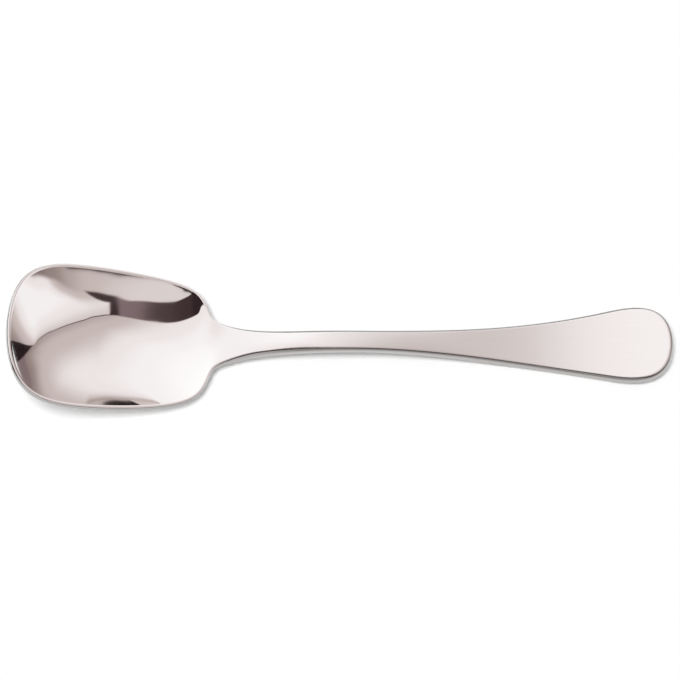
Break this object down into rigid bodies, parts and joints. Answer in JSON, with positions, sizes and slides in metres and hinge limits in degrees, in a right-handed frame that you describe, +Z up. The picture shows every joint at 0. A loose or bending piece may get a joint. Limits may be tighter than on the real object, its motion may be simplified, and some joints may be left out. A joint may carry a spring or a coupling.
{
  "type": "ice cream spoon",
  "caption": "Polished stainless steel ice cream spoon with a broad, square-nosed dished bowl and a flat handle that narrows to a waist and flares to a rounded end.",
  "frame": {"origin": "on the table, below the middle of the spoon's length and width", "axes": "+X along the spoon from the bowl to the handle's end, +Y across it, +Z up out of the bowl's mouth"},
  "size_m": [0.1402, 0.0326, 0.0124],
  "materials": {
    "stainless_steel": "mirror polished in the bowl, fine satin polish on the handle"
  },
  "bodies": {
    "root": {"spoon": "stainless_steel"}
  },
  "joints": []
}
